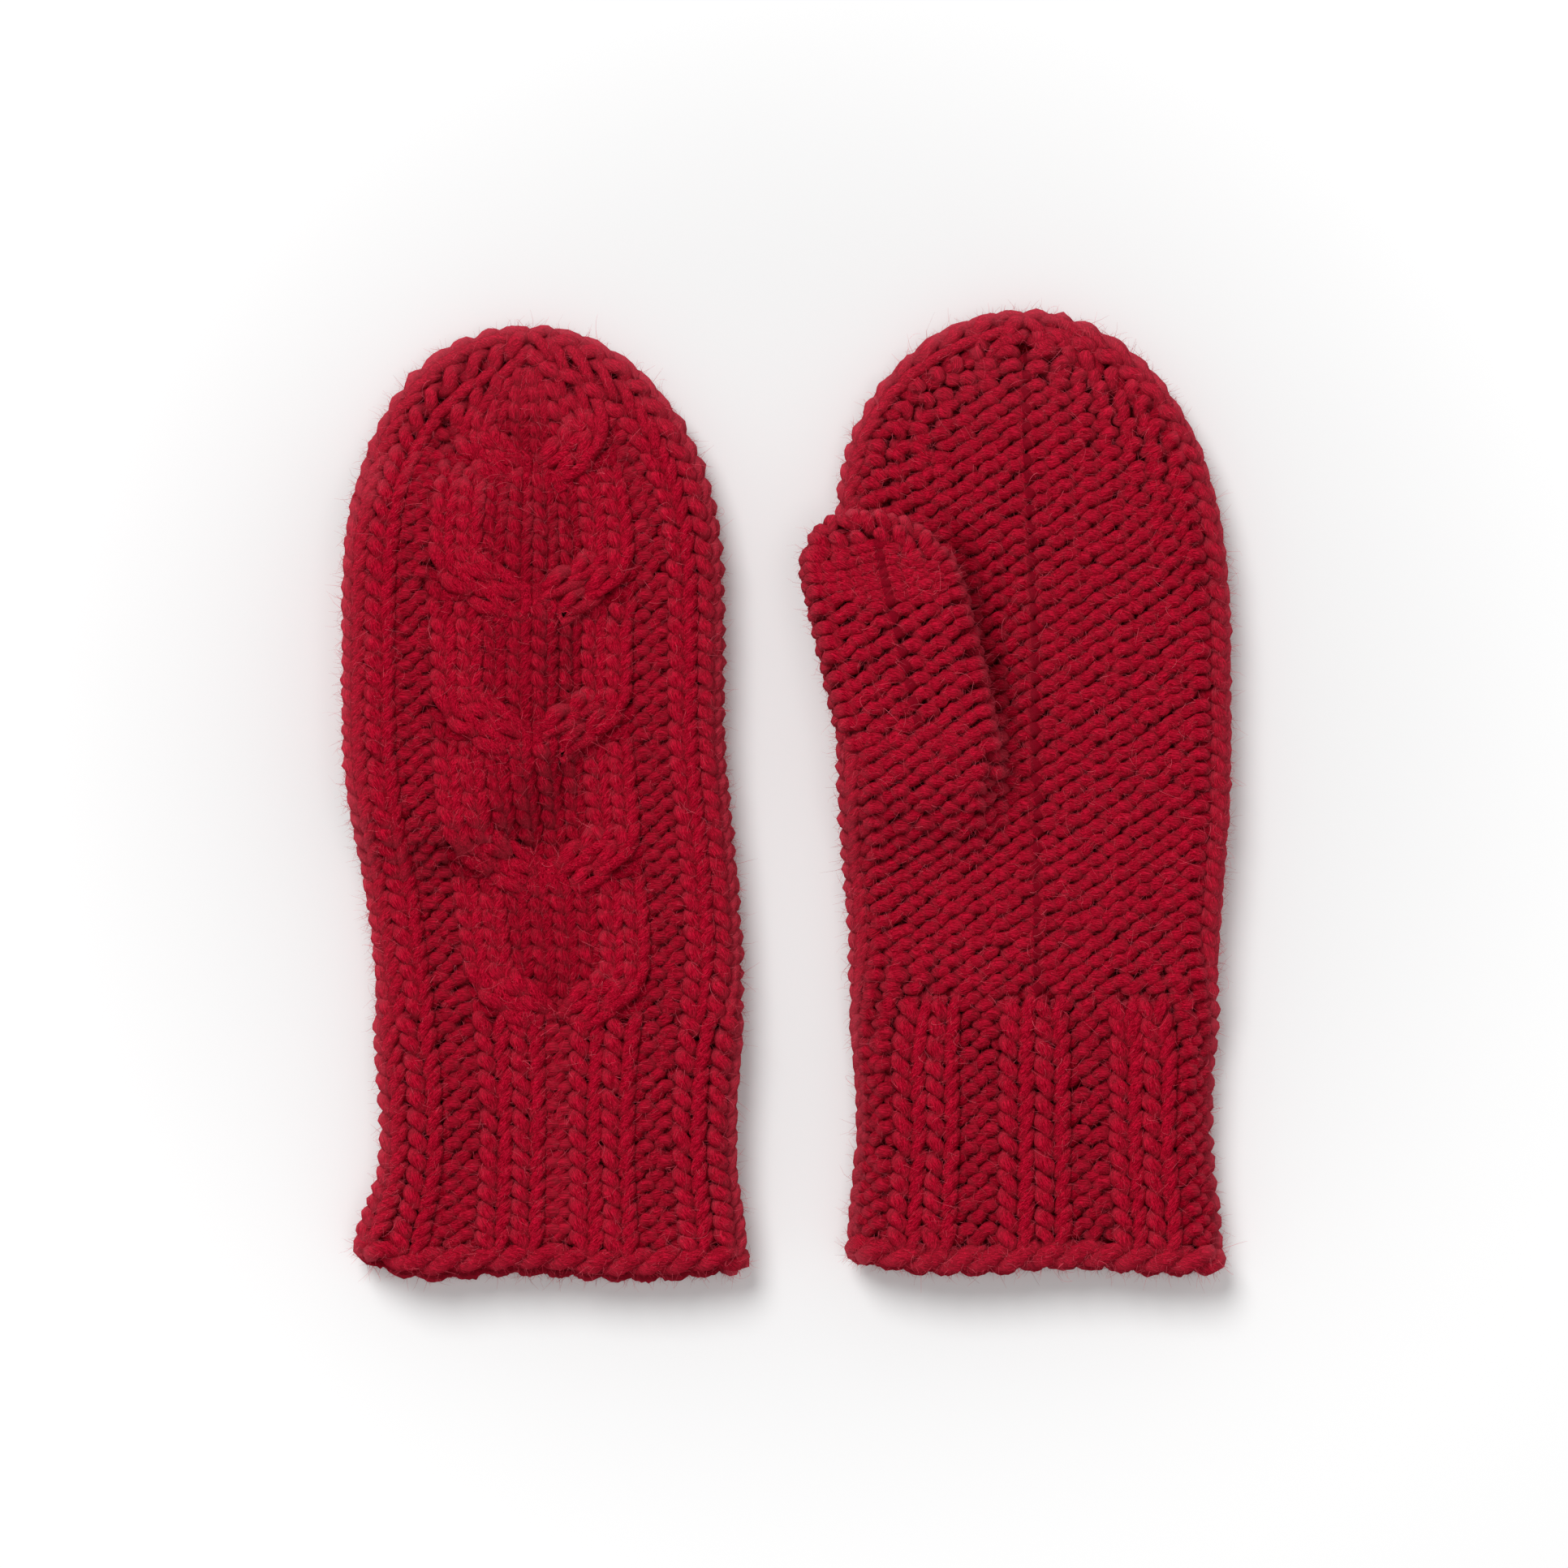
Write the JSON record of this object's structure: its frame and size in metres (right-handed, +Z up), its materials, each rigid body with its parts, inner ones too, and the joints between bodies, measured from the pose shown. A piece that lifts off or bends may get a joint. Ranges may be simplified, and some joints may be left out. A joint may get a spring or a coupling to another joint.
{
  "type": "pair of knitted mittens",
  "caption": "Pair of chunky hand-knitted wool mittens lying flat: one back up with a horseshoe cable, one palm up with its thumb folded on the palm; ribbed cuffs.",
  "frame": {"origin": "centre of the pair's footprint, on the table that both mittens lie on", "axes": "+Y towards the fingertips, +X from the right-hand mitten to the left-hand mitten, +Z up off the table"},
  "size_m": [0.2463, 0.2696, 0.0343],
  "materials": {
    "rib_knit": "soft matt wool yarn, knit columns in relief",
    "cable_knit": "soft matt wool yarn, horseshoe cable in relief",
    "purl_knit": "soft matt wool yarn, reverse stockinette bumps",
    "edge_knit": "soft matt wool yarn, slanting cast-on loops"
  },
  "bodies": {
    "left_cuff_body": {"left_cast_on_edge": "edge_knit", "left_cuff_back": "rib_knit", "left_cuff_palm": "rib_knit", "left_cuff_thumb_side": "rib_knit", "left_cuff_outer_side": "rib_knit"},
    "left_hand_body": {"left_hand_back": "cable_knit", "left_hand_palm": "purl_knit", "left_hand_thumb_side": "rib_knit", "left_hand_outer_side": "rib_knit", "left_thumb_gusset": "purl_knit"},
    "left_fingers_body": {"left_fingers_back": "cable_knit", "left_fingers_palm": "purl_knit", "left_fingers_thumb_side": "rib_knit", "left_fingers_outer_side": "rib_knit", "left_fingertip": "rib_knit"},
    "left_thumb_body": {"left_thumb_rear": "purl_knit", "left_thumb_rim": "purl_knit", "left_thumb_front": "purl_knit"},
    "right_cuff_body": {"right_cast_on_edge": "edge_knit", "right_cuff_back": "rib_knit", "right_cuff_palm": "rib_knit", "right_cuff_thumb_side": "rib_knit", "right_cuff_outer_side": "rib_knit"},
    "right_hand_body": {"right_hand_back": "cable_knit", "right_hand_palm": "purl_knit", "right_hand_thumb_side": "rib_knit", "right_hand_outer_side": "rib_knit", "right_thumb_gusset": "purl_knit"},
    "right_fingers_body": {"right_fingers_back": "cable_knit", "right_fingers_palm": "purl_knit", "right_fingers_thumb_side": "rib_knit", "right_fingers_outer_side": "rib_knit", "right_fingertip": "rib_knit"},
    "right_thumb_body": {"right_thumb_rear": "purl_knit", "right_thumb_rim": "purl_knit", "right_thumb_front": "purl_knit"}
  },
  "joints": [
    {"name": "left_cuff_fold", "type": "hinge", "parent": "left_hand_body", "child": "left_cuff_body", "pos_m": [0.0683, -0.0585, 0.0098], "axis": [-1, 0, 0], "range_deg": [0, 45]},
    {"name": "left_finger_fold", "type": "hinge", "parent": "left_hand_body", "child": "left_fingers_body", "pos_m": [0.0683, 0.0855, 0.0098], "axis": [1, 0, 0], "range_deg": [0, 45]},
    {"name": "left_thumb_swing", "type": "hinge", "parent": "left_hand_body", "child": "left_thumb_body", "pos_m": [0.0337, 0.0265, 0.0271], "axis": [0, 0, 1], "range_deg": [0, 30]},
    {"name": "right_cuff_fold", "type": "hinge", "parent": "right_hand_body", "child": "right_cuff_body", "pos_m": [-0.0636, -0.0628, 0.0098], "axis": [-1, 0, 0], "range_deg": [0, 45]},
    {"name": "right_finger_fold", "type": "hinge", "parent": "right_hand_body", "child": "right_fingers_body", "pos_m": [-0.0636, 0.0812, 0.0098], "axis": [1, 0, 0], "range_deg": [0, 45]},
    {"name": "right_thumb_swing", "type": "hinge", "parent": "right_hand_body", "child": "right_thumb_body", "pos_m": [-0.0999, 0.0222, 0.0072], "axis": [0, 0, 1], "range_deg": [0, 30]},
    {"name": "right_mitten_apart", "type": "slide", "parent": "left_hand_body", "child": "right_hand_body", "axis": [-1, 0, 0], "range_m": [0, 0.12]}
  ]
}
